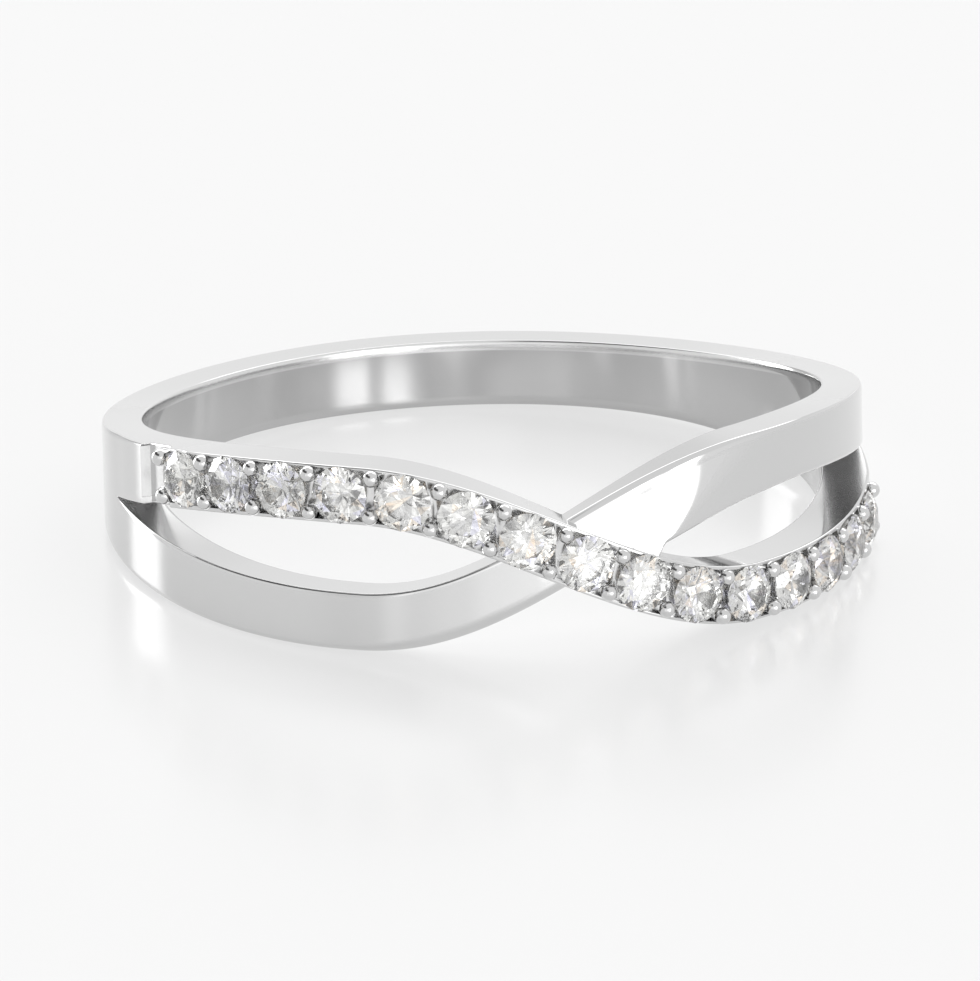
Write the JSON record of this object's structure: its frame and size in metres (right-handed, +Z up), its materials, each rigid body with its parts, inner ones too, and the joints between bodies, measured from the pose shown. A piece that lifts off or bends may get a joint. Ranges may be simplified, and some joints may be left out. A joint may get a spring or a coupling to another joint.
{
  "type": "cubic zirconia ring",
  "caption": "Silver crossover ring: a band splits into two open strands, and the one on top carries a row of round clear stones set with beads.",
  "frame": {"origin": "on the table, under the middle of the ring as it lies on its side", "axes": "+Z up from the table, -Y from the back of the band towards the crossing at the front, +X towards the side where the stone strand is low"},
  "size_m": [0.0194, 0.02, 0.005],
  "materials": {
    "silver": "mirror polish, rhodium-plated sterling silver",
    "stone": "colourless cubic zirconia, polished facets"
  },
  "bodies": {
    "root": {"ring_body": "silver", "stone_01": "stone", "stone_02": "stone", "stone_03": "stone", "stone_04": "stone", "stone_05": "stone", "stone_06": "stone", "stone_07": "stone", "stone_08": "stone", "stone_09": "stone", "stone_10": "stone", "stone_11": "stone", "stone_12": "stone", "stone_13": "stone", "stone_14": "stone", "stone_15": "stone"}
  },
  "joints": []
}
